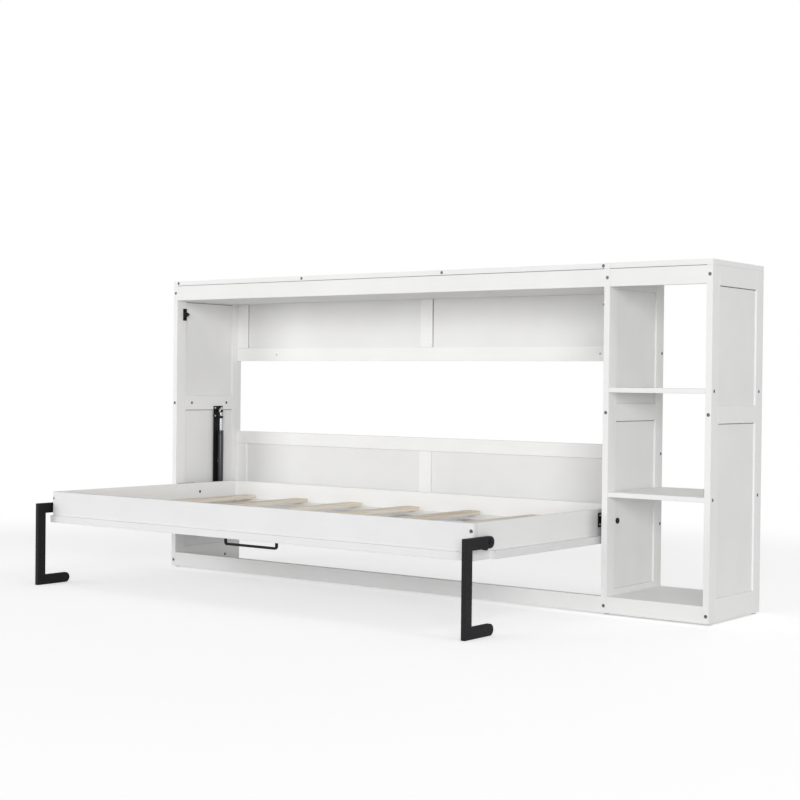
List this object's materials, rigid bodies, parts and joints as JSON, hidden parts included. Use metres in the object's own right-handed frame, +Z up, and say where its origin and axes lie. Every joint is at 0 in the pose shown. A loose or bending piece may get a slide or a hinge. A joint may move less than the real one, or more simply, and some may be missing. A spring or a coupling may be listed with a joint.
{
  "type": "wall bed with shelf unit",
  "caption": "Low wall bed that folds sideways out of a white panelled cabinet, with slats, gas struts, black hook legs that hang at desk height when shut, and an open shelf unit.",
  "frame": {"origin": "on the floor under the centre of the bounding box, with the bed folded down", "axes": "+X along the cabinet's length towards the shelf unit, +Y towards the wall, +Z up; the bed opens towards -Y"},
  "size_m": [2.484, 1.167, 1.205],
  "materials": {
    "white_paint": "smooth white lacquer on board, satin",
    "slat_pine": "planed raw pine",
    "black_steel": "black powder coat, fine texture",
    "zinc_steel": "zinc plated, dull",
    "strut_chrome": "ground and polished",
    "black_plastic": "moulded, fine grain",
    "pale_plastic": "moulded, fine grain"
  },
  "bodies": {
    "cabinet": {"left_posts": "white_paint", "left_rails": "white_paint", "left_infills": "white_paint", "mid_posts": "white_paint", "mid_rails": "white_paint", "mid_infills": "white_paint", "right_posts": "white_paint", "right_rails": "white_paint", "right_infills": "white_paint", "bay_top_frame": "white_paint", "bay_top_infills": "white_paint", "shelf_top": "white_paint", "bay_fascia": "white_paint", "shelf_fascia": "white_paint", "bay_soffit": "white_paint", "shelf_rear_rail": "white_paint", "upper_back_frame": "white_paint", "upper_back_infills": "white_paint", "lower_back_frame": "white_paint", "lower_back_infills": "white_paint", "bay_bottom_rail": "white_paint", "shelf_plinth": "white_paint", "shelf_floor": "white_paint", "upper_shelf": "white_paint", "lower_shelf": "white_paint", "floor_glides": "pale_plastic", "frame_bolts": "zinc_steel", "barrel_nuts": "zinc_steel", "side_bolts": "zinc_steel", "left_mount_plate": "black_steel", "right_mount_plate": "black_steel", "left_pivot_bracket": "black_steel", "right_pivot_bracket": "black_steel", "plate_screws": "zinc_steel", "left_latch_base": "black_plastic", "right_latch_base": "black_plastic"},
    "bed": {"face_frame": "white_paint", "face_infills": "white_paint", "front_rail": "white_paint", "rear_rail": "white_paint", "left_end_board": "white_paint", "right_end_board": "white_paint", "corner_posts": "white_paint", "slat_ledgers": "white_paint", "bed_slats": "slat_pine", "pull_handle": "black_steel", "left_lever": "black_steel", "right_lever": "black_steel", "lever_screws": "zinc_steel", "rail_bolts": "zinc_steel", "leg_pivots": "zinc_steel"},
    "left_leg": {"left_leg": "black_steel"},
    "right_leg": {"right_leg": "black_steel"},
    "left_strut_rod": {"left_strut_rod": "strut_chrome"},
    "left_strut_tube": {"left_strut_tube": "black_steel"},
    "right_strut_rod": {"right_strut_rod": "strut_chrome"},
    "right_strut_tube": {"right_strut_tube": "black_steel"},
    "left_latch_bolt": {"left_latch_bolt": "black_plastic"},
    "right_latch_bolt": {"right_latch_bolt": "black_plastic"}
  },
  "joints": [
    {"name": "bed_fold", "type": "hinge", "parent": "cabinet", "child": "bed", "pos_m": [-0.192, 0.2695, 0.318], "axis": [-1, 0, 0], "range_deg": [0, 90]},
    {"name": "left_leg_fold", "type": "hinge", "parent": "bed", "child": "left_leg", "pos_m": [-1.184, -0.4445, 0.293], "axis": [-1, 0, 0], "range_deg": [-74, 0]},
    {"name": "right_leg_fold", "type": "hinge", "parent": "bed", "child": "right_leg", "pos_m": [0.8, -0.4445, 0.293], "axis": [-1, 0, 0], "range_deg": [-74, 0]},
    {"name": "left_strut_swing", "type": "hinge", "parent": "cabinet", "child": "left_strut_rod", "pos_m": [-1.202, 0.4395, 0.657], "axis": [-1, 0, 0], "range_deg": [0, 18.6]},
    {"name": "left_strut_extend", "type": "slide", "parent": "left_strut_rod", "child": "left_strut_tube", "axis": [0, 0, -1], "range_m": [0, 0.198]},
    {"name": "right_strut_swing", "type": "hinge", "parent": "cabinet", "child": "right_strut_rod", "pos_m": [0.818, 0.4395, 0.657], "axis": [-1, 0, 0], "range_deg": [0, 18.6]},
    {"name": "right_strut_extend", "type": "slide", "parent": "right_strut_rod", "child": "right_strut_tube", "axis": [0, 0, -1], "range_m": [0, 0.198]},
    {"name": "left_latch_slide", "type": "slide", "parent": "cabinet", "child": "left_latch_bolt", "axis": [1, 0, 0], "range_m": [0, 0.025]},
    {"name": "right_latch_slide", "type": "slide", "parent": "cabinet", "child": "right_latch_bolt", "axis": [-1, 0, 0], "range_m": [0, 0.025]}
  ],
  "couplings": [
    {"joint": "left_leg_fold", "follows": "bed_fold", "ratio": -0.82},
    {"joint": "right_leg_fold", "follows": "bed_fold", "ratio": -0.82},
    {"joint": "left_strut_swing", "follows": "bed_fold", "ratio": 0.20521},
    {"joint": "left_strut_extend", "follows": "bed_fold", "m_per_rad": 0.12582},
    {"joint": "right_strut_swing", "follows": "bed_fold", "ratio": 0.20521},
    {"joint": "right_strut_extend", "follows": "bed_fold", "m_per_rad": 0.12582}
  ]
}
